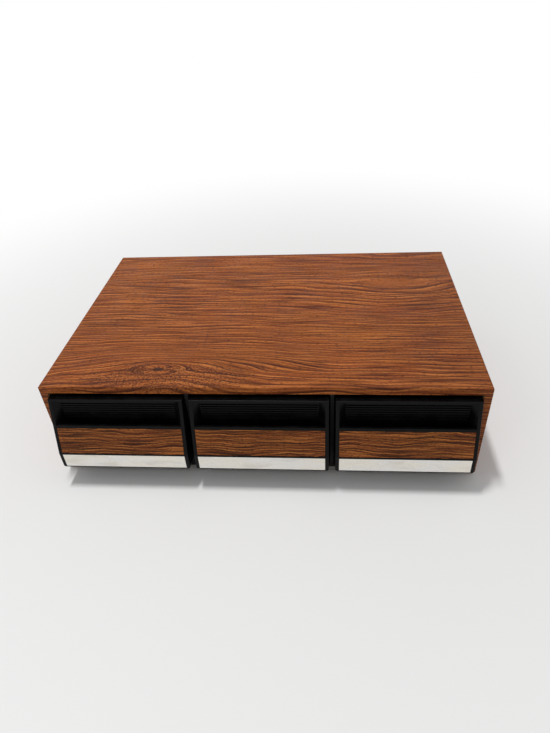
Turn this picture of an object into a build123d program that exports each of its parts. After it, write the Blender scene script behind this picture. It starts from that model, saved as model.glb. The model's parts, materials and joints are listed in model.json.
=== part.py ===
from build123d import *
import os
from math import cos, radians, sin, tan

# A tabletop cabinet with three drawers for audio cassettes. Sizes are in millimetres.
# X runs across the cabinet, Y from the front to the back, and Z up. The origin is on
# the table, under the middle of the whole outline, drawer fronts included.

# Cabinet: a folded wrap of two sides and a top, with thin boards inside it
drawer_count = 3
body_width = 382.0
body_depth = 250.0
body_height = 97.5              # without the feet
side_thickness = 6.5
top_thickness = 7.0
wrap_radius = 1.0               # rounding of the two folded edges
bottom_thickness = 4.0
partition_thickness = 3.0
top_groove_depth = 2.5          # grooves that hold the partitions
bottom_groove_depth = 1.5
groove_stop = 10.0              # the grooves start this far behind the front edges
back_thickness = 3.0
back_recess = 0.8               # the back board sits this deep behind the rear edges
rebate_width = 3.5              # how far the back board reaches into top and sides

# Feet, and the wire staples of the back board
foot_diameter = 14.0
foot_height = 3.5
foot_inset = 22.0               # foot centre from the outer faces
foot_bevel = 0.9
staple_width = 9.0              # over both legs
staple_length = 12.0            # of the legs
staple_wire = 1.2               # along the crown
staple_thickness = 0.6
staple_gap = 0.05               # between a leg and its hole, all round
staple_count_across = 4         # in the top, and again in the bottom
staple_count_up = 2             # in each side

# Drawer front: a hollow moulding, seen in section from its top edge down
front_side_gap = 1.25           # to the partitions and sides
front_top_gap = 2.8             # to the top board
front_bottom_gap = 1.2          # to the bottom board
plate_thickness = 2.0           # the flat plate that closes the opening
lip_projection = 5.35           # how far the top edge stands out
front_projection = 18.7         # how far the lower face stands out
top_rim = 1.6
side_rim = 3.0
scoop_height = 22.8             # opening of the finger scoop
sill_height = 2.8               # bar between scoop and woodgrain insert
knee_bar = 2.1                  # bar between insert and metal strip
knee_drop = 0.8                 # the slope ends this far below the insert
strip_height = 14.3
bottom_rim = 1.4
plate_below_chin = 13.0         # plate that shows under the projecting part
chin_undercut = 2.5
moulding_wall = 2.2
top_corner_radius = 3.0
chin_corner_radius = 2.2
edge_rounding = 0.6

# Finger scoop
scoop_back_out = 1.8            # its ribbed wall, in front of the cabinet's edge
scoop_cheek = 5.4               # how much narrower the ribbed wall is, each side
scoop_top_slope = 2.0
pocket_depth = 11.0             # the hook behind the sill
pocket_ledge = 0.3
grip_rib_count = 7
grip_rib_pitch = 2.5
grip_rib_start = 6.0            # first rib below the scoop's upper edge
grip_rib_base = 1.5
grip_rib_tip = 0.7
grip_rib_height = 0.9

# Insert, strip and the snap tabs that hold the front on its tray
insert_thickness = 1.0
strip_thickness = 0.8
inlay_gap = 0.3                 # dark line round the insert and the strip
tab_width = 8.0
tab_thickness = 1.6
tab_hook = 1.0                  # how far its hook rises behind the tray's wall
tab_point = 1.2                 # how far its hook reaches behind the wall
tab_gap = 0.1                   # to its hole and to the wall
tab_spacing = 84.0
upper_tab_drop = 14.0           # below the front's top edge
lower_tab_rise = 5.0            # above the plate's lower edge

# Drawer tray
tray_side_gap = 1.15
tray_rear_gap = 0.3
skid_gap = 0.3                  # running gap under the skids
skid_height = 1.0
skid_width = 4.0
skid_inset = 12.0
skid_end = 8.0
tray_wall = 2.0
tray_floor = 2.0
tray_side_height = 54.0         # floor's underside to the top of the side walls
tray_top_drop = 0.6             # front wall below the front moulding's top edge
gusset_length = 30.0            # the side walls rise to the front wall over this length
gusset_radius = 24.0
tray_corner_radius = 3.0

# Leaning slots for the cassettes: sloping seats between fins on the tray's floor
cassette_height = 69.5          # in its case, which stands on its long edge
slot_count = 12
slot_lean = 12.0                # degrees from upright, towards the back
slot_start = 3.2                # first seat behind the front wall
fin_thickness = 1.4
fin_height = 8.0                # above the floor between the seats

# Modelling allowances
cut_past = 1.0                  # how far a cutting shape runs past a face
root_depth = 0.5                # how deep a rib, fin or tab is sunk into what carries it
same_place = 0.01               # places closer than this are one

# Places worked out from the sizes above
outline_depth = body_depth + front_projection
front_y = front_projection - outline_depth / 2      # plane of the cabinet's front edges
rear_y = front_y + body_depth
body_bottom = foot_height
body_top = foot_height + body_height
inner_half = body_width / 2 - side_thickness
floor_z = body_bottom + bottom_thickness            # upper face of the bottom board
ceiling_z = body_top - top_thickness
back_front_y = rear_y - back_recess - back_thickness
partitions_width = (drawer_count - 1) * partition_thickness
opening_width = (2 * inner_half - partitions_width) / drawer_count
column_pitch = opening_width + partition_thickness

front_width = opening_width - 2 * front_side_gap
front_half = front_width / 2
front_top = top_thickness + front_top_gap           # drops are measured from body_top
plate_bottom = body_height - bottom_thickness - front_bottom_gap
scoop_top = front_top + top_rim
sill_top = scoop_top + scoop_height
insert_top = sill_top + sill_height
chin = plate_bottom - plate_below_chin
strip_bottom = chin - bottom_rim
strip_top = strip_bottom - strip_height
insert_bottom = strip_top - knee_bar
knee = insert_bottom + knee_drop
slope = (front_projection - lip_projection) / (knee - front_top)
slope_stretch = (1 + slope ** 2) ** 0.5
inlay_half = front_half - side_rim
pocket_floor = sill_top + pocket_depth


def column_x(index):
    """Middle of one drawer's opening."""
    return (index - (drawer_count - 1) / 2) * column_pitch


def block(x0, x1, y0, y1, z0, z1):
    """A box between two corners."""
    return Pos((x0 + x1) / 2, (y0 + y1) / 2, (z0 + z1) / 2) * Box(x1 - x0, y1 - y0, z1 - z0)


def across(points, x0, x1):
    """A closed outline of (y, z) points, extruded along X from x0 to x1."""
    return extrude(Plane.YZ.offset(x0) * Polygon(*points, align=None), amount=x1 - x0, dir=(1, 0, 0))


def at(out, drop):
    """The (y, z) point that stands out from the front edges and lies below the top."""
    return (front_y - out, body_top - drop)


def slope_out(drop):
    """How far the sloping face stands out at a given drop."""
    return lip_projection + slope * (drop - front_top)


# ---------------------------------------------------------------- cabinet

def wrap_section(part):
    """One board's section in the folded wrap: its mitres meet at the rounded folds."""
    half = body_width / 2
    outer = Polygon((-half, body_bottom), (half, body_bottom), (half, body_top), (-half, body_top),
                    align=None)
    folds = outer.vertices().filter_by_position(Axis.Y, body_top - same_place, body_top + same_place)
    outer = fillet(folds, wrap_radius)
    corner = (half, body_top)
    elbow = (inner_half, ceiling_z)
    if part == "top":
        mask = Polygon((-elbow[0], elbow[1]), elbow, corner, (-half, body_top), align=None)
    else:
        mask = Polygon((inner_half, body_bottom), (half, body_bottom), corner, elbow, align=None)
    section = outer & mask
    if part == "left":
        section = mirror(section, Plane.YZ)
    return section


def wrap_board(part):
    """A wrap board with the rebate for the back board."""
    plane = Plane.XZ.offset(-front_y)
    board = extrude(plane * wrap_section(part), amount=-body_depth)
    return board - back_space()


def back_space():
    """Room for the back board, open to the rear."""
    half = inner_half + rebate_width
    return block(-half, half, back_front_y, rear_y + cut_past,
                 body_bottom - cut_past, ceiling_z + rebate_width)


def partition_x(index):
    """Middle of one partition, between openings index and index + 1."""
    return column_x(index) + column_pitch / 2


def partition(index):
    """A thin upright board between two drawers, with its edges let into stopped grooves."""
    x = partition_x(index)
    half = partition_thickness / 2
    board = block(x - half, x + half, front_y, back_front_y, floor_z, ceiling_z)
    return board + block(x - half, x + half, front_y + groove_stop, back_front_y,
                         floor_z - bottom_groove_depth, ceiling_z + top_groove_depth)


def all_partitions():
    return [partition(i) for i in range(drawer_count - 1)]


def bottom_board():
    board = block(-inner_half, inner_half, front_y, back_front_y, body_bottom, floor_z)
    return board - all_partitions()


def back_board():
    half = inner_half + rebate_width
    return block(-half, half, back_front_y, back_front_y + back_thickness,
                 body_bottom, ceiling_z + rebate_width)


def spread(count, low, high):
    """Evenly spaced places, the first and last half a step inside the ends."""
    step = (high - low) / count
    return [low + step * (i + 0.5) for i in range(count)]


def staple_places():
    """(x, z, upright) of each staple, in the middle of the edges that the back board covers."""
    top_z = ceiling_z + rebate_width / 2
    bottom_z = body_bottom + bottom_thickness / 2
    side_x = inner_half + rebate_width / 2
    across_x = spread(staple_count_across, -inner_half, inner_half)
    up_z = spread(staple_count_up, floor_z, ceiling_z)
    places = [(x, z, False) for z in (bottom_z, top_z) for x in across_x]
    return places + [(side * side_x, z, True) for side in (-1, 1) for z in up_z]


def staple_bar(place, low, high, y0, y1, gap):
    """A part of a staple, from low to high along its crown."""
    x, z, upright = place
    half = staple_thickness / 2 + gap
    if upright:
        return block(x - half, x + half, y0, y1, z + low - gap, z + high + gap)
    return block(x + low - gap, x + high + gap, y0, y1, z - half, z + half)


def staples(gap=0.0):
    """The staples of the back board or, with a gap, the holes of their legs."""
    crown_y = back_front_y + back_thickness
    reach = staple_width / 2
    shapes = []
    for place in staple_places():
        shape = staple_bar(place, -reach, reach, crown_y, crown_y + staple_thickness, gap)
        for low in (-reach, reach - staple_wire):
            shape += staple_bar(place, low, low + staple_wire, crown_y - staple_length - gap, crown_y, gap)
        shapes.append(shape)
    return shapes


def foot(x, y):
    """A round rubber foot, flat under the bottom board."""
    disc = Cylinder(foot_diameter / 2, foot_height, align=(Align.CENTER, Align.CENTER, Align.MIN))
    rim = disc.edges().filter_by(GeomType.CIRCLE).sort_by(Axis.Z)[0]
    return Pos(x, y, 0) * chamfer(rim, foot_bevel)


def feet():
    x = body_width / 2 - foot_inset
    return [foot(side * x, y) for side in (-1, 1) for y in (front_y + foot_inset, rear_y - foot_inset)]


# ---------------------------------------------------------------- drawer front

def slope_plate(top, bottom, depth, gap, half, x):
    """A plate let into the sloping face or, with a gap round it, its recess."""
    inward = (depth / slope_stretch, depth * slope / slope_stretch)
    top = top - gap
    bottom = bottom + gap
    skin = cut_past if gap else 0.0
    outer = (skin / slope_stretch, skin * slope / slope_stretch)
    points = [at(slope_out(top) + outer[0], top - outer[1]),
              at(slope_out(bottom) + outer[0], bottom - outer[1]),
              at(slope_out(bottom) - inward[0], bottom + inward[1]),
              at(slope_out(top) - inward[0], top + inward[1])]
    return across(points, x - half - gap, x + half + gap)


def insert_plate(x, gap=0.0):
    return slope_plate(insert_top, insert_bottom, insert_thickness, gap, inlay_half - inlay_gap, x)


def metal_strip(x, gap=0.0):
    half = inlay_half - inlay_gap + gap
    face_y = front_y - front_projection
    skin = cut_past if gap else 0.0
    return block(x - half, x + half, face_y - skin, face_y + strip_thickness,
                 body_top - strip_bottom - gap, body_top - strip_top + gap)


def scoop_quad(x, half, out_top, top, out_bottom, bottom):
    """A four-cornered face across the scoop, from its upper to its lower edge."""
    y_top, z_top = at(out_top, top)
    y_bottom, z_bottom = at(out_bottom, bottom)
    corners = [(x - half, y_top, z_top), (x + half, y_top, z_top),
               (x + half, y_bottom, z_bottom), (x - half, y_bottom, z_bottom)]
    return Face(Wire.make_polygon(corners, close=True))


def wall_inside(drop):
    """Inner face of the sloping wall."""
    return slope_out(drop) - moulding_wall * slope_stretch


def scoop_space(x):
    """The scoop narrows to its ribbed wall, and hooks down behind the sill."""
    back_half = inlay_half - scoop_cheek
    mouth = scoop_quad(x, inlay_half, slope_out(scoop_top), scoop_top, slope_out(sill_top), sill_top)
    wall = scoop_quad(x, back_half, scoop_back_out, scoop_top + scoop_top_slope,
                      scoop_back_out, sill_top)
    space = loft([mouth, wall], ruled=True)
    space += extrude(mouth, amount=cut_past, dir=(0, -1, -slope))
    reach = (wall_inside(sill_top) - scoop_back_out) / (slope_out(sill_top) - scoop_back_out)
    hook_half = back_half + scoop_cheek * reach - pocket_ledge
    overlap = sill_top - pocket_ledge
    hook_front = scoop_quad(x, hook_half, wall_inside(overlap), overlap,
                            wall_inside(pocket_floor), pocket_floor)
    hook_back = scoop_quad(x, back_half - pocket_ledge, scoop_back_out, overlap,
                           scoop_back_out, pocket_floor)
    return space + loft([hook_front, hook_back], ruled=True)


def grip_ribs(x):
    """Fine level ribs on the scoop's back wall."""
    half = inlay_half - scoop_cheek - pocket_ledge
    root = scoop_back_out - root_depth
    tip = scoop_back_out + grip_rib_height
    flare = (grip_rib_base - grip_rib_tip) / 2 * root_depth / grip_rib_height
    foot_half = grip_rib_base / 2 + flare
    ribs = []
    for i in range(grip_rib_count):
        middle = scoop_top + grip_rib_start + i * grip_rib_pitch
        points = [at(root, middle - foot_half), at(tip, middle - grip_rib_tip / 2),
                  at(tip, middle + grip_rib_tip / 2), at(root, middle + foot_half)]
        ribs.append(across(points, x - half, x + half))
    return ribs


def hollow(x):
    """The space behind insert and strip, open to the tray."""
    roof = pocket_floor + moulding_wall
    face = front_projection - moulding_wall
    rise = chin_undercut / (front_projection - plate_thickness)
    floor = chin - moulding_wall
    points = [at(-cut_past, roof), at(wall_inside(roof), roof), at(face, knee), at(face, floor),
              at(-cut_past, floor + rise * (face + cut_past))]
    half = front_half - moulding_wall
    return across(points, x - half, x + half)


def tab_places(x):
    """(x, z) of the four tabs behind the front."""
    upper = body_top - front_top - upper_tab_drop
    lower = body_top - plate_bottom + lower_tab_rise
    return [(x + side * tab_spacing / 2, z) for side in (-1, 1) for z in (upper, lower)]


def tabs(x):
    """Tabs through the tray's front wall, each with a hook that snaps up behind it."""
    wall_y = front_y + tray_wall + tab_gap
    shapes = []
    for tab_x, z in tab_places(x):
        low = z - tab_thickness / 2
        high = z + tab_thickness / 2
        points = [(front_y - root_depth, low), (wall_y + tab_point, low), (wall_y + tab_point, high),
                  (wall_y, high + tab_hook), (wall_y, high), (front_y - root_depth, high)]
        shapes.append(across(points, tab_x - tab_width / 2, tab_x + tab_width / 2))
    return shapes


def tab_holes(x):
    """Holes for the tabs, with room for a tab to bend down as it is pushed in."""
    half = tab_width / 2 + tab_gap
    above = tab_thickness / 2 + tab_gap
    below = tab_thickness / 2 + tab_hook + tab_gap
    return [block(tab_x - half, tab_x + half, front_y - cut_past, inside_front + cut_past,
                  z - below, z + above) for tab_x, z in tab_places(x)]


def drawer_front(x):
    """The projecting front with its scoop, recesses and tabs."""
    outline = [at(0, front_top), at(lip_projection, front_top), at(front_projection, knee),
               at(front_projection, chin), at(plate_thickness, chin + chin_undercut),
               at(plate_thickness, plate_bottom), at(0, plate_bottom)]
    shape = across(outline, x - front_half, x + front_half)

    def runs_back(edge):
        """True for an edge at the moulding's side that runs mostly front to back."""
        middle = edge.center()
        span = edge @ 1 - edge @ 0
        return abs(abs(middle.X - x) - front_half) < same_place and abs(span.Y) > abs(span.Z)

    side_edges = [e for e in shape.edges() if runs_back(e)]
    top_edges = [e for e in side_edges if e.center().Z > body_top - front_top - same_place]
    chin_edges = [e for e in side_edges if abs(e.center().Z - (body_top - chin)) < chin_undercut]
    shape = fillet(top_edges, top_corner_radius)
    shape = fillet(chin_edges, chin_corner_radius)
    rim_y = front_y - lip_projection + same_place
    rim = [e for e in shape.edges() if (e @ 0).Y < rim_y and (e @ 1).Y < rim_y]
    rim = [e for e in rim if abs(e.center().Z - (body_top - knee)) > same_place]
    shape = fillet(rim, edge_rounding)
    shape = shape - scoop_space(x) - hollow(x) - insert_plate(x, inlay_gap) - metal_strip(x, inlay_gap)
    return shape + grip_ribs(x) + tabs(x)


# ---------------------------------------------------------------- drawer tray

tray_bottom = floor_z + skid_gap + skid_height
tray_inside_floor = tray_bottom + tray_floor
tray_half = opening_width / 2 - tray_side_gap
tray_inner_half = tray_half - tray_wall
tray_rear = back_front_y - tray_rear_gap
tray_side_top = tray_bottom + tray_side_height
inside_front = front_y + tray_wall
inside_rear = tray_rear - tray_wall
lean = radians(slot_lean)
leaning_room = cassette_height * sin(lean)          # that the last cassette takes at its top
slot_pitch = (inside_rear - inside_front - slot_start - leaning_room) / slot_count
fin_run = fin_thickness / cos(lean)
seat_run = slot_pitch - fin_run
seat_rise = seat_run * tan(lean)                    # a seat is square to the leaning cassette


def slot_seats(x):
    """A seat that falls to the back, and the leaning fin behind it, for each cassette."""
    floor = tray_inside_floor
    root = floor - root_depth
    fin_top = floor + fin_height
    overhang = fin_height * tan(lean)
    seats = []
    for i in range(slot_count):
        front = inside_front + slot_start + i * slot_pitch
        fin = front + seat_run
        points = [(front, root), (fin + fin_run, root), (fin + fin_run, floor),
                  (fin + overhang + fin_run, fin_top), (fin + overhang, fin_top),
                  (fin, floor), (front, floor + seat_rise)]
        seats.append(across(points, x - tray_inner_half, x + tray_inner_half))
    return seats


def skids(x):
    """Two low runners under the floor."""
    bars = []
    for side in (-1, 1):
        middle = x + side * (tray_half - skid_inset)
        bars.append(block(middle - skid_width / 2, middle + skid_width / 2, front_y + skid_end,
                          tray_rear - skid_end, floor_z + skid_gap, tray_bottom + tray_floor / 2))
    return bars


def drawer_tray(x):
    """The open box behind a front. Its side walls rise in a curve to the front wall."""
    front_wall_top = body_top - front_top - tray_top_drop
    outline = Polygon((front_y, tray_bottom), (tray_rear, tray_bottom), (tray_rear, tray_side_top),
                      (inside_front + gusset_length, tray_side_top), (inside_front, front_wall_top),
                      (front_y, front_wall_top), align=None)
    gusset = outline.vertices().sort_by_distance((inside_front + gusset_length, tray_side_top))[0]
    outline = fillet(gusset, gusset_radius)
    tray = extrude(Plane.YZ.offset(x - tray_half) * outline, amount=2 * tray_half)
    uprights = tray.edges().filter_by(Axis.Z).sort_by(Axis.Y)[-2:]
    tray = fillet(uprights, tray_corner_radius)
    inside = block(x - tray_inner_half, x + tray_inner_half, inside_front, inside_rear,
                   tray_inside_floor, body_top)
    inside = fillet(inside.edges().filter_by(Axis.Z), tray_corner_radius - tray_wall / 2)
    return tray - inside + slot_seats(x) + skids(x) - tab_holes(x)


# ---------------------------------------------------------------- all pieces

def single(shape):
    """The one solid of a shape."""
    solids = shape.solids()
    return solids[0] if len(solids) == 1 else Compound(children=list(solids))


def all_pieces():
    """Every piece of the cabinet at rest, by its node's name."""
    holes = staples(staple_gap)
    pieces = {
        "top_panel": wrap_board("top") - all_partitions() - holes,
        "left_side_panel": wrap_board("left") - holes,
        "right_side_panel": wrap_board("right") - holes,
        "bottom_panel": bottom_board() - holes,
        "back_panel": back_board() - holes,
        "back_panel_staples": Compound(children=[s.solid() for s in staples()]),
        "feet": Compound(children=[f.solid() for f in feet()]),
    }
    for i, board in enumerate(all_partitions()):
        pieces[f"partition_{i + 1}"] = board
    for i in range(drawer_count):
        x = column_x(i)
        pieces[f"drawer_{i + 1}_tray"] = drawer_tray(x)
        pieces[f"drawer_{i + 1}_front"] = drawer_front(x)
        pieces[f"drawer_{i + 1}_insert"] = insert_plate(x)
        pieces[f"drawer_{i + 1}_strip"] = metal_strip(x)
    return pieces


os.makedirs("parts", exist_ok=True)
for node, shape in all_pieces().items():
    export_step(single(shape), f"parts/{node}.step")
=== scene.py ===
"""Looks of a tabletop cabinet with three cassette drawers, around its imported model."""
import json
from math import cos, radians, sin

import bpy
from mathutils import Matrix, Vector

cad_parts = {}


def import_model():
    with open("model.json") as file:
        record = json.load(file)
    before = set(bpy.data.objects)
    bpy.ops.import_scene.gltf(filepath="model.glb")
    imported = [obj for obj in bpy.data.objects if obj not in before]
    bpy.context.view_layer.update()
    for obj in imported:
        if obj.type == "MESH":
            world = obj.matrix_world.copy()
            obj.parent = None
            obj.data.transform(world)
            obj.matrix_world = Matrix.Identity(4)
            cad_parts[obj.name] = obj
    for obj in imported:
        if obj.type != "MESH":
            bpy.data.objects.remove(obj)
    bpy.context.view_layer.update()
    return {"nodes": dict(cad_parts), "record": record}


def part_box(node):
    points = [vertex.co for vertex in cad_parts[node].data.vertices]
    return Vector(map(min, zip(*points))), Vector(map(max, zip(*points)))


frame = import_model()

MM = 0.001

# Places in the frame, in metres
top_low, top_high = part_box("top_panel")
body_front = top_low.y                          # plane of the cabinet's front edges
body_top = top_high.z

# Camera, from the photograph's perspective
camera_place = Vector((0.05602, -0.46467, 0.38770))
camera_yaw = radians(-6.56)
camera_pitch = radians(36.97856)                # down
camera_roll = radians(-3.95871)
camera_lens = 26.88
sensor_size = 36.0


# ---------------------------------------------------------------- node trees

class Value:
    """A number socket of a material, for use in sums."""

    def __init__(self, net, socket):
        self.net = net
        self.socket = socket

    def __add__(self, other):
        return self.net.math("ADD", self, other)

    __radd__ = __add__

    def __sub__(self, other):
        return self.net.math("SUBTRACT", self, other)

    def __rsub__(self, other):
        return self.net.math("SUBTRACT", other, self)

    def __mul__(self, other):
        return self.net.math("MULTIPLY", self, other)

    __rmul__ = __mul__

    def __truediv__(self, other):
        return self.net.math("DIVIDE", self, other)


class Net:
    """One material, built from small node calls."""

    def __init__(self, name):
        self.material = bpy.data.materials.new(name)
        self.material.use_nodes = True
        self.tree = self.material.node_tree
        self.tree.nodes.clear()
        self.output = self.tree.nodes.new("ShaderNodeOutputMaterial")

    def node(self, kind, **settings):
        made = self.tree.nodes.new(kind)
        for name, value in settings.items():
            setattr(made, name, value)
        return made

    def put(self, socket, value):
        """Links a socket or sets it to a plain number, colour or vector."""
        if isinstance(value, Value):
            value = value.socket
        if isinstance(value, bpy.types.NodeSocket):
            self.tree.links.new(value, socket)
        else:
            socket.default_value = value

    def math(self, operation, *values):
        made = self.node("ShaderNodeMath", operation=operation)
        for socket, value in zip(made.inputs, values):
            self.put(socket, value)
        return Value(self, made.outputs[0])

    def place(self):
        """x, y and z of the shaded point in the frame, in millimetres."""
        coords = self.node("ShaderNodeTexCoord")
        parts = self.node("ShaderNodeSeparateXYZ")
        self.put(parts.inputs[0], coords.outputs["Object"])
        return [Value(self, out) * (1 / MM) for out in parts.outputs]

    def normal(self):
        """The surface's direction as three numbers."""
        geometry = self.node("ShaderNodeNewGeometry")
        parts = self.node("ShaderNodeSeparateXYZ")
        self.put(parts.inputs[0], geometry.outputs["Normal"])
        return [Value(self, out) for out in parts.outputs]

    def vector(self, x, y, z=0.0):
        made = self.node("ShaderNodeCombineXYZ")
        for socket, value in zip(made.inputs, (x, y, z)):
            self.put(socket, value)
        return made.outputs[0]

    def noise(self, vector, detail=2.0, roughness=0.5):
        """Smooth noise of 0 to 1 with features about one unit across."""
        made = self.node("ShaderNodeTexNoise")
        self.put(made.inputs["Vector"], vector)
        self.put(made.inputs["Scale"], 1.0)
        self.put(made.inputs["Detail"], detail)
        self.put(made.inputs["Roughness"], roughness)
        return Value(self, made.outputs[0])

    def step(self, value, low, high, to_low=0.0, to_high=1.0):
        """A smooth step from to_low to to_high as the value goes from low to high."""
        made = self.node("ShaderNodeMapRange", interpolation_type="SMOOTHSTEP")
        for socket, number in zip(made.inputs, (value, low, high, to_low, to_high)):
            self.put(socket, number)
        return Value(self, made.outputs[0])

    def blend(self, share, first, second, mode="MIX"):
        """A colour between the first and the second."""
        made = self.node("ShaderNodeMix", data_type="RGBA", blend_type=mode)
        self.put(made.inputs[0], share)
        self.put(made.inputs[6], first)
        self.put(made.inputs[7], second)
        return made.outputs[2]

    def ramp(self, value, stops):
        """A colour ramp from (place, colour) stops."""
        made = self.node("ShaderNodeValToRGB")
        elements = made.color_ramp.elements
        while len(elements) < len(stops):
            elements.new(0.5)
        for element, (place, colour) in zip(elements, stops):
            element.position = place
            element.color = colour
        self.put(made.inputs[0], value)
        return made.outputs[0]

    def bump(self, height, distance, strength=1.0):
        """A normal from a height of 0 to 1, the distance in metres."""
        made = self.node("ShaderNodeBump")
        self.put(made.inputs["Strength"], strength)
        self.put(made.inputs["Distance"], distance)
        self.put(made.inputs["Height"], height)
        return made.outputs[0]

    def surface(self, **inputs):
        """Ends the material in one Principled shader."""
        shader = self.node("ShaderNodeBsdfPrincipled")
        for name, value in inputs.items():
            self.put(shader.inputs[name.replace("_", " ")], value)
        self.put(self.output.inputs[0], shader.outputs[0])
        return self.material


def srgb(red, green, blue):
    """A linear colour from the 0 to 255 values that it shows as."""
    def linear(channel):
        share = channel / 255
        return share / 12.92 if share <= 0.04045 else ((share + 0.055) / 1.055) ** 2.4
    return (linear(red), linear(green), linear(blue), 1.0)


# ---------------------------------------------------------------- printed woodgrain

knot_place = (-90.0, 25.0)      # mm from the middle, and back from the front edge


def swell(net, u, v, middle, half_size, push=1.0, split=False):
    """A local push of the grain lines, in mm. A split one parts them round its middle."""
    a = (u - middle[0]) / half_size[0]
    t = (v - middle[1]) / half_size[1]
    bell = net.math("EXPONENT", (a * a + t * t) * -0.5)
    if split:
        bell = bell * t
    return bell * push


def top_grain(net, u, v):
    """A number that is level along each grain line of the top. v runs back from its front edge."""
    waves = net.noise(net.vector(u * 0.012, v * 0.03, 3.7), detail=2.0, roughness=0.4)
    f = v + (waves - 0.5) * 12.0
    arches = swell(net, u, v, (-90.0, -8.0), (75.0, 24.0), -16.0, split=True)
    rings = swell(net, u, v, knot_place, (13.0, 5.0), -10.0, split=True)
    heap_behind_knot = swell(net, u, v, (-70.0, 40.0), (70.0, 12.0), -20.0)
    bend_at_eye = swell(net, u, v, (140.0, 190.0), (50.0, 38.0), -30.0, split=True)
    lens_behind_eye = swell(net, u, v, (145.0, 230.0), (55.0, 16.0), 28.0)
    sag_at_left = swell(net, u, v, (-135.0, 65.0), (80.0, 90.0), -5.0)
    for bend in (arches, rings, heap_behind_knot, bend_at_eye, lens_behind_eye, sag_at_left):
        f = f + bend
    # Behind this line of the grain the lines lie further apart
    return f - net.math("MAXIMUM", f - 125.0, 0.0) * 0.35


def oak_print(net, u, f, warm, figure, tones, pitch=5.0, seed=0.0):
    """Colour and relief of the print, with a painted highlight beside its lines and streaks, from
    the place along and across its lines, in mm.
    """
    dark_tone, middle_tone, light_tone, ink, highlight_colour = tones
    wander = net.noise(net.vector(u / 130, f / 22, seed), detail=2.0, roughness=0.5)
    saw = net.math("FRACT", f / pitch + (wander - 0.5) * 3.0)
    strong = net.step(net.noise(net.vector(u / 95, f / 5, seed + 3), detail=2.0), 0.32, 0.58)
    lit = net.step(net.noise(net.vector(u / 95, f / 6, seed + 5), detail=2.0), 0.34, 0.60)
    bands = net.noise(net.vector(u / 190, f / 13, seed + 7), detail=3.0, roughness=0.55)
    streaks = net.noise(net.vector(u / 62, f / 1.35, seed + 9), detail=2.0, roughness=0.6)
    pores = net.noise(net.vector(u / 3.6, f / 1.1, seed + 13), detail=2.0, roughness=0.6)
    ground = net.ramp(bands, [(0.34, dark_tone), (0.50, middle_tone), (0.66, light_tone)])
    red = net.blend(1.0, ground, (0.98, 0.90, 1.03, 1.0), mode="MULTIPLY")
    ground = net.blend(warm, red, ground)
    lines = net.step(saw, 0.38, 0.06) * strong * figure
    # Painted highlight: pale edges beside the dark lines, standing in for light on the embossed
    # relief
    painted_highlights = net.step(saw, 0.60, 0.90) * lit * figure
    dark_streaks = net.step(streaks, 0.49, 0.39) * (figure * 0.6 + 0.4)
    # Painted highlight: the lighter half of the streaks takes the same highlight colour
    streak_highlights = net.step(streaks, 0.52, 0.62) * (figure * 0.6 + 0.4)
    ticks = net.step(pores, 0.47, 0.37)
    colour = net.blend(painted_highlights * 0.70, ground, highlight_colour)
    colour = net.blend(streak_highlights * 0.50, colour, highlight_colour)
    colour = net.blend(lines * 0.90, colour, ink)
    colour = net.blend(dark_streaks * 0.72, colour, ink)
    colour = net.blend(ticks * 0.55, colour, ink)
    relief = 1.0 - net.math("MAXIMUM", ticks, lines * 0.6)
    return colour, relief


# Dark, middle and light ground, ink of the lines, and a pale tone beside them that is a painted
# highlight, standing in for light catching the embossed relief
top_tones = (srgb(134, 68, 29), srgb(147, 78, 31), srgb(156, 86, 35),
             srgb(62, 22, 7), srgb(206, 124, 60))
# Painted shade: the inserts' tones are darker than the top's, standing in for the drawer fronts
# lying in shade
shaded_inlay_tones = (srgb(106, 52, 20), srgb(122, 65, 26), srgb(138, 78, 33),
               srgb(24, 8, 3), srgb(196, 122, 60))


def particle_board(net, x, y, z):
    """Raw chips of the board where the vinyl doesn't reach."""
    chips = net.noise(net.vector(x * 0.7, y * 0.45, z * 0.9), detail=4.0, roughness=0.7)
    dust = net.noise(net.vector(x * 3.1, y * 3.1, z * 3.1), detail=2.0)
    colour = net.ramp(chips, [(0.30, srgb(104, 80, 52)), (0.47, srgb(158, 128, 88)),
                              (0.56, srgb(178, 150, 108)), (0.72, srgb(132, 100, 62))])
    return net.blend(dust * 0.4, colour, srgb(150, 122, 86)), chips


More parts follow.
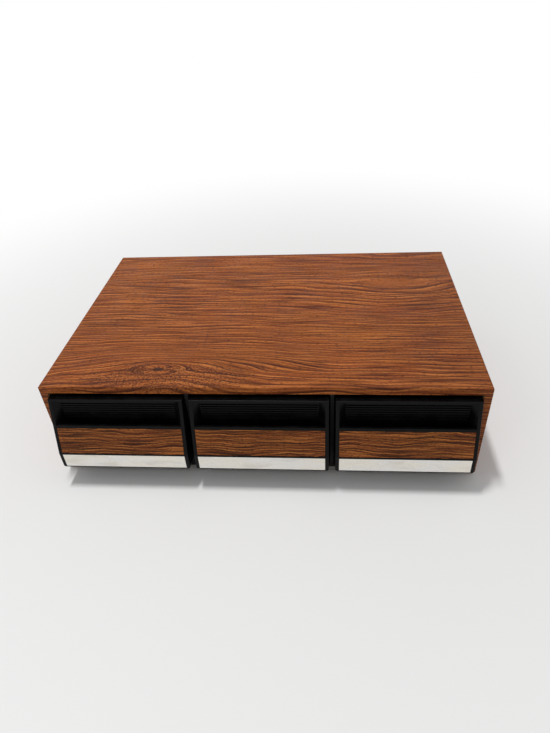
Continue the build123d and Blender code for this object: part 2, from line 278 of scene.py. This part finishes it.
def woodgrain_board():
    """The wrap: a printed sheet over top and sides, bare particle board inside and behind."""
    net = Net("woodgrain_vinyl")
    x, y, z = net.place()
    nx, ny, nz = net.normal()
    drop = body_top / MM - z
    outside = net.math("SIGN", x)
    on_side = net.step(net.math("ABSOLUTE", nx), 0.6, 0.8)
    on_front = net.step(ny, -0.6, -0.8)
    u = x + on_side * outside * drop
    v = (y - body_front / MM) - on_front * drop
    f = top_grain(net, u, v)
    warm = net.step(net.noise(net.vector(u / 90, v / 55, 8.0), detail=1.0), 0.35, 0.65)
    eye = net.step(swell(net, u, v, (126.0, 177.0), (27.0, 9.0)), 0.35, 0.75)
    front_part = net.step(v, 215.0, 150.0, 0.55, 1.0)
    colour, relief = oak_print(net, u, f, warm, (1.0 - eye * 0.85) * front_part, top_tones)
    colour = net.blend(eye * 0.5, colour, srgb(166, 92, 36))
    near_knot = net.step(swell(net, u, v, (-80.0, 14.0), (55.0, 16.0)), 0.20, 0.75)
    grit = net.noise(net.vector(u / 2.0, v / 1.5, 17.0), detail=2.0, roughness=0.6)
    colour = net.blend(near_knot * net.step(grit, 0.50, 0.38) * 0.80, colour, srgb(58, 24, 10))
    colour = net.blend(near_knot * net.step(grit, 0.55, 0.66) * 0.35, colour, srgb(198, 130, 72))
    knot = net.step(swell(net, u, v, (-91.0, 25.0), (4.6, 2.4)), 0.35, 0.8)
    colour = net.blend(knot * 0.85, colour, srgb(38, 18, 12))
    # Painted shade: darker towards its right edge, standing in for the light falling off there
    shade = net.step(u, 60.0, 200.0, 0.0, 0.30)
    shaded = net.blend(1.0, colour, (0.45, 0.45, 0.50, 1.0), mode="MULTIPLY")
    colour = net.blend(shade, colour, shaded)
    rubs = net.noise(net.vector(u / 26, v / 18, 31.0), detail=3.0, roughness=0.6)
    raw, chips = particle_board(net, x, y, z)
    covered = net.math("MAXIMUM", net.step(nx * outside, 0.5, 0.7),
                       net.math("MAXIMUM", net.step(nz, 0.5, 0.7), on_front))
    colour = net.blend(covered, raw, colour)
    height = covered * relief + (1.0 - covered) * chips
    roughness = net.step(rubs, 0.3, 0.7, 0.42, 0.56) + (1.0 - covered) * 0.35
    return net.surface(Base_Color=colour, Roughness=roughness,
                       Specular_IOR_Level=0.12, Normal=net.bump(height, 0.00008, 0.6))


def woodgrain_inlay():
    """The same print on the drawers' inserts, cut elsewhere from the sheet, in darker tones that
    are painted shade of the drawer fronts.
    """
    net = Net("woodgrain_inlay")
    x, y, z = net.place()
    waves = net.noise(net.vector(x * 0.018, z * 0.04, 1.3), detail=2.0)
    f = z + (waves - 0.5) * 13.0
    warm = net.step(net.noise(net.vector(x / 40, z / 30, 2.0), detail=1.0), 0.35, 0.65)
    colour, relief = oak_print(net, x * 1.3, f * 1.25, warm, 1.0, shaded_inlay_tones,
                               pitch=4.4, seed=21.0)
    rubs = net.noise(net.vector(x / 20, z / 9, 5.0), detail=3.0)
    return net.surface(Base_Color=colour, Roughness=net.step(rubs, 0.3, 0.7, 0.40, 0.52),
                       Specular_IOR_Level=0.12, Normal=net.bump(relief, 0.00008, 0.6))


# ---------------------------------------------------------------- other materials

def black_plastic():
    """Satin moulded styrene: a fine spark texture, dust in it and a few rubbed places."""
    net = Net("black_plastic")
    x, y, z = net.place()
    spark = net.noise(net.vector(x * 2.6, y * 2.6, z * 2.6), detail=3.0, roughness=0.6)
    dust = net.noise(net.vector(x * 0.09, y * 0.09, z * 0.12), detail=4.0, roughness=0.65)
    scuffs = net.noise(net.vector(x * 0.35, y * 2.2, z * 2.2), detail=2.0, roughness=0.7)
    rubbed = net.step(scuffs, 0.66, 0.80)
    colour = net.blend(net.step(dust, 0.46, 0.78) * 0.5, srgb(3, 3, 4), srgb(12, 12, 13))
    colour = net.blend(rubbed * 0.20, colour, srgb(44, 44, 47))
    return net.surface(Base_Color=colour, Roughness=net.step(dust, 0.3, 0.7, 0.26, 0.40),
                       Specular_IOR_Level=0.12, Normal=net.bump(spark, 0.00004, 0.35))


def silver_strip():
    """Bright anodised strip, brushed lengthwise, with smears and a few small specks."""
    net = Net("silver_strip")
    x, y, z = net.place()
    brushed = net.noise(net.vector(x / 30, z * 3.0, 2.0), detail=3.0, roughness=0.6)
    smears = net.noise(net.vector(x / 26, z / 8, 6.0), detail=2.0, roughness=0.5)
    tint = net.noise(net.vector(x / 40, z / 14, 11.0), detail=1.0)
    specks = net.noise(net.vector(x / 1.3, z / 1.3, 4.0), detail=1.0)
    colour = net.blend(net.step(tint, 0.35, 0.65), srgb(234, 232, 229), srgb(236, 231, 220))
    colour = net.blend(net.step(smears, 0.50, 0.72) * 0.30, colour, srgb(190, 186, 178))
    colour = net.blend(net.step(brushed, 0.30, 0.70) * 0.12, colour, srgb(168, 165, 160))
    colour = net.blend(net.step(specks, 0.78, 0.84) * 0.7, colour, srgb(120, 112, 100))
    roughness = net.step(smears, 0.3, 0.7, 0.20, 0.34) + (brushed - 0.5) * 0.10
    return net.surface(Base_Color=colour, Roughness=roughness, Metallic=1.0,
                       Normal=net.bump(brushed, 0.00001, 0.5))


def hardboard():
    """Brown pressed board with fine fibres, grey at its cut front edge."""
    net = Net("hardboard")
    x, y, z = net.place()
    nx, ny, nz = net.normal()
    fibres = net.noise(net.vector(x * 0.5, y * 0.5, z * 0.5), detail=5.0, roughness=0.75)
    patches = net.noise(net.vector(x / 40, y / 40, z / 40), detail=2.0)
    colour = net.ramp(fibres, [(0.30, srgb(78, 52, 34)), (0.50, srgb(112, 80, 54)),
                               (0.70, srgb(134, 100, 70))])
    colour = net.blend(net.step(patches, 0.4, 0.7) * 0.3, colour, srgb(92, 62, 42))
    grey = net.ramp(fibres, [(0.30, srgb(92, 90, 86)), (0.70, srgb(140, 138, 132))])
    faces_front = net.step(ny, -0.6, -0.8)
    front_edge = faces_front * net.step(y, body_front / MM + 2.0, body_front / MM + 1.0)
    return net.surface(Base_Color=net.blend(front_edge, colour, grey), Roughness=0.72,
                       Specular_IOR_Level=0.2, Normal=net.bump(fibres, 0.0001, 0.5))


def black_board():
    """Thin board with a black facing, a little dusty."""
    net = Net("black_board")
    x, y, z = net.place()
    fibres = net.noise(net.vector(x * 0.9, y * 0.9, z * 0.9), detail=4.0, roughness=0.7)
    dust = net.noise(net.vector(x / 30, y / 30, z / 30), detail=3.0)
    colour = net.ramp(fibres, [(0.30, srgb(7, 7, 8)), (0.70, srgb(17, 16, 16))])
    colour = net.blend(net.step(dust, 0.5, 0.8) * 0.3, colour, srgb(40, 38, 36))
    return net.surface(Base_Color=colour, Roughness=0.65, Specular_IOR_Level=0.2,
                       Normal=net.bump(fibres, 0.00008, 0.5))


def rubber():
    """Black rubber, greyed where it is worn."""
    net = Net("rubber")
    x, y, z = net.place()
    grain = net.noise(net.vector(x * 3, y * 3, z * 3), detail=3.0, roughness=0.6)
    worn = net.noise(net.vector(x / 5, y / 5, z / 5), detail=2.0)
    colour = net.blend(net.step(worn, 0.45, 0.75) * 0.5, srgb(18, 18, 18), srgb(52, 50, 48))
    return net.surface(Base_Color=colour, Roughness=0.85, Specular_IOR_Level=0.2,
                       Normal=net.bump(grain, 0.00006, 0.5))


def steel():
    """Drawn wire with a little tarnish."""
    net = Net("steel")
    x, y, z = net.place()
    drawn = net.noise(net.vector(x * 0.4, y * 5, z * 5), detail=3.0)
    tarnish = net.noise(net.vector(x / 3, y / 3, z / 3), detail=2.0)
    colour = net.blend(net.step(tarnish, 0.5, 0.75) * 0.5, srgb(182, 182, 184), srgb(132, 120, 104))
    return net.surface(Base_Color=colour, Metallic=1.0,
                       Roughness=net.step(tarnish, 0.3, 0.7, 0.28, 0.5),
                       Normal=net.bump(drawn, 0.00001, 0.5))


materials = {
    "woodgrain_board": woodgrain_board(),
    "woodgrain_inlay": woodgrain_inlay(),
    "hardboard": hardboard(),
    "black_board": black_board(),
    "black_plastic": black_plastic(),
    "silver_strip": silver_strip(),
    "rubber": rubber(),
    "steel": steel(),
}
for row in frame["record"]["subparts"]:
    node = frame["nodes"][row["node"]]
    node.data.materials.clear()
    node.data.materials.append(materials[row["material_slot"]])


# ---------------------------------------------------------------- floor, lights and camera

def floor():
    """A pale floor that takes the shadow, and turns plain white away from the object."""
    reach = 12.0
    near, far = 260.0, 800.0                    # mm from the middle
    corners = [(-reach, -reach, 0), (reach, -reach, 0), (reach, reach, 0), (-reach, reach, 0)]
    mesh = bpy.data.meshes.new("floor")
    mesh.from_pydata(corners, [], [(0, 1, 2, 3)])
    made = bpy.data.objects.new("floor", mesh)
    bpy.context.scene.collection.objects.link(made)
    net = Net("floor_white")
    x, y, z = net.place()
    distance = net.math("SQRT", x * x + y * y)
    rays = net.node("ShaderNodeLightPath")
    seen = Value(net, rays.outputs["Is Camera Ray"]) + Value(net, rays.outputs["Is Glossy Ray"])
    seen = net.math("MINIMUM", seen + Value(net, rays.outputs["Is Transmission Ray"]), 1.0)
    shader = net.node("ShaderNodeBsdfDiffuse")
    net.put(shader.inputs["Color"], (0.93, 0.93, 0.925, 1.0))
    glow = net.node("ShaderNodeEmission")
    mixed = net.node("ShaderNodeMixShader")
    net.put(mixed.inputs[0], seen * net.step(distance, near, far))
    net.put(mixed.inputs[1], shader.outputs[0])
    net.put(mixed.inputs[2], glow.outputs[0])
    net.put(net.output.inputs[0], mixed.outputs[0])
    made.data.materials.append(net.material)


def area_light(name, place, aim, width, depth, power):
    """A lamp panel that faces a point."""
    data = bpy.data.lights.new(name, "AREA")
    data.shape = "RECTANGLE"
    data.size = width
    data.size_y = depth
    data.energy = power
    made = bpy.data.objects.new(name, data)
    made.location = place
    made.rotation_euler = (Vector(aim) - Vector(place)).to_track_quat("-Z", "Y").to_euler()
    bpy.context.scene.collection.objects.link(made)


def world():
    """Even room light on the object, with plain white behind it."""
    made = bpy.data.worlds.new("room")
    made.use_nodes = True
    tree = made.node_tree
    soft = tree.nodes["Background"]                 # lights the object
    soft.inputs["Color"].default_value = (1.0, 1.0, 1.0, 1.0)
    soft.inputs["Strength"].default_value = 0.45
    white = tree.nodes.new("ShaderNodeBackground")  # what the camera, metal and glass see
    white.inputs["Color"].default_value = (1.0, 1.0, 1.0, 1.0)
    white.inputs["Strength"].default_value = 1.0
    rays = tree.nodes.new("ShaderNodeLightPath")
    seen = tree.nodes.new("ShaderNodeMath")
    seen.operation = "ADD"
    seen_all = tree.nodes.new("ShaderNodeMath")
    seen_all.operation = "ADD"
    seen_all.use_clamp = True
    mixed = tree.nodes.new("ShaderNodeMixShader")
    tree.links.new(rays.outputs["Is Camera Ray"], seen.inputs[0])
    tree.links.new(rays.outputs["Is Glossy Ray"], seen.inputs[1])
    tree.links.new(seen.outputs[0], seen_all.inputs[0])
    tree.links.new(rays.outputs["Is Transmission Ray"], seen_all.inputs[1])
    tree.links.new(seen_all.outputs[0], mixed.inputs[0])
    tree.links.new(soft.outputs[0], mixed.inputs[1])
    tree.links.new(white.outputs[0], mixed.inputs[2])
    tree.links.new(mixed.outputs[0], tree.nodes["World Output"].inputs["Surface"])
    bpy.context.scene.world = made


def camera():
    """The photograph's view, turned by yaw, then pitch, then roll."""
    cy, sy = cos(camera_yaw), sin(camera_yaw)
    cp, sp = cos(camera_pitch), sin(camera_pitch)
    cr, sr = cos(camera_roll), sin(camera_roll)
    forward = Vector((sy * cp, cy * cp, -sp))
    level = Vector((cy, -sy, 0.0))
    upright = level.cross(forward)
    right = cr * level + sr * upright
    up = cr * upright - sr * level
    data = bpy.data.cameras.new("camera")
    data.lens = camera_lens
    data.sensor_width = sensor_size
    made = bpy.data.objects.new("camera", data)
    turn = Matrix((right, up, -forward)).transposed().to_4x4()
    made.matrix_world = Matrix.Translation(camera_place) @ turn
    bpy.context.scene.collection.objects.link(made)
    bpy.context.scene.camera = made


floor()
world()
area_light("key", (-0.26, 0.05, 2.0), (0.0, 0.0, 0.05), 0.34, 0.12, 17.5)
area_light("front", (-0.18, -0.50, 0.50), (-0.05, -0.12, 0.05), 0.10, 0.10, 0.16)
camera()
bpy.context.scene.view_settings.view_transform = "Standard"
